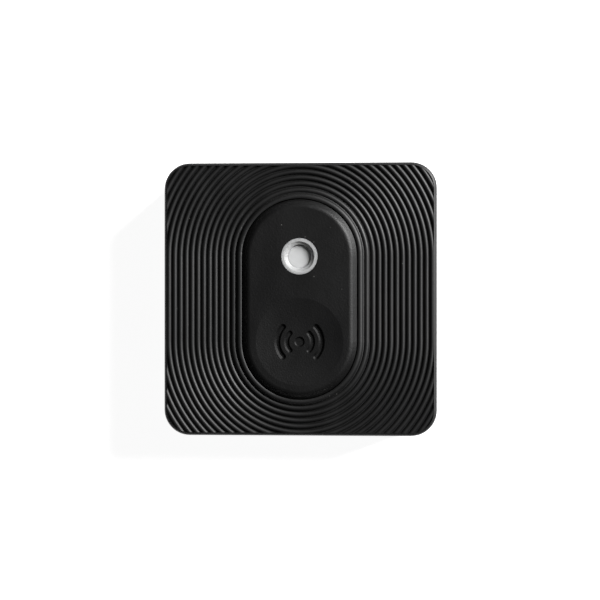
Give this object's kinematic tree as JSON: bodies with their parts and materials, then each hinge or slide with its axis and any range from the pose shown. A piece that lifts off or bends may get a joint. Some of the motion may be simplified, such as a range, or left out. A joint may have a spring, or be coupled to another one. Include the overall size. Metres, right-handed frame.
{
  "type": "bluetooth tracker tag",
  "caption": "Square matte black stick-on radio tag with a ribbed cover, a stadium push pad with a recessed indicator and finger dimple, and a twist-lock battery door.",
  "frame": {"origin": "centre of the square plan, on the underside of the adhesive pad", "axes": "+Z out of the ribbed front face, +Y towards the indicator end of the push pad, +X to the side with the sound slots"},
  "size_m": [0.036, 0.036, 0.0116],
  "materials": {
    "cover_plastic": "fine moulded grain, matte black",
    "pad_plastic": "fine moulded grain, matte black",
    "ring_plastic": "satin pale grey",
    "light_plastic": "frosted translucent white",
    "seal_rubber": "soft silicone",
    "adhesive_foam": "closed-cell foam tape",
    "door_foam": "closed-cell foam",
    "screw_steel": "zinc plated",
    "carrier_plastic": "natural white nylon",
    "contact_steel": "nickel plated spring strip",
    "cell_steel": "bright stamped steel",
    "cell_seal": "moulded polypropylene",
    "cathode": "pressed powder",
    "lithium": "soft metal disc and separator",
    "board_laminate": "green solder mask",
    "chip_epoxy": "moulded epoxy",
    "component_ceramic": "fired ceramic",
    "crystal_metal": "plated can",
    "led_resin": "clear resin",
    "sounder_plastic": "glass-filled plastic",
    "sounder_brass": "brass disc with ceramic",
    "mesh_cloth": "woven acoustic mesh",
    "switch_plastic": "moulded nylon",
    "switch_steel": "stainless strip"
  },
  "bodies": {
    "root": {"top_cover": "cover_plastic", "back_cover": "cover_plastic", "pad_seal": "seal_rubber", "cover_gasket": "seal_rubber", "case_screws": "screw_steel", "adhesive_pad": "adhesive_foam", "battery_carrier": "carrier_plastic", "positive_contact": "contact_steel", "negative_contact": "contact_steel", "cell_can": "cell_steel", "cell_gasket": "cell_seal", "cell_cap": "cell_steel", "cathode_pellet": "cathode", "lithium_disc": "lithium", "circuit_board": "board_laminate", "radio_chip": "chip_epoxy", "crystal": "crystal_metal", "chip_antenna": "component_ceramic", "indicator_led": "led_resin", "capacitors": "component_ceramic", "resistors": "chip_epoxy", "sounder_case": "sounder_plastic", "sounder_disc": "sounder_brass", "sound_mesh": "mesh_cloth", "switch_body": "switch_plastic", "switch_dome": "switch_steel", "switch_frame": "switch_steel", "switch_terminals": "switch_steel"},
    "button": {"press_pad": "pad_plastic", "indicator_ring": "ring_plastic", "light_pipe": "light_plastic"},
    "plunger": {"switch_plunger": "switch_plastic"},
    "door": {"battery_door": "cover_plastic", "door_o_ring": "seal_rubber", "door_pad": "door_foam"}
  },
  "joints": [
    {"name": "pad_press", "type": "slide", "parent": "root", "child": "button", "axis": [0, 0, -1], "range_m": [0, 0.0003], "stiffness_N_per_m": 3000},
    {"name": "plunger_press", "type": "slide", "parent": "root", "child": "plunger", "axis": [0, 0, -1], "range_m": [0, 0.0003], "deforming": ["switch_dome"]},
    {"name": "door_turn", "type": "hinge", "parent": "root", "child": "door", "pos_m": [0, 0, 0.0008], "axis": [0, 0, -1], "range_deg": [0, 30]}
  ],
  "couplings": [
    {"joint": "plunger_press", "follows": "pad_press", "ratio": 1}
  ]
}
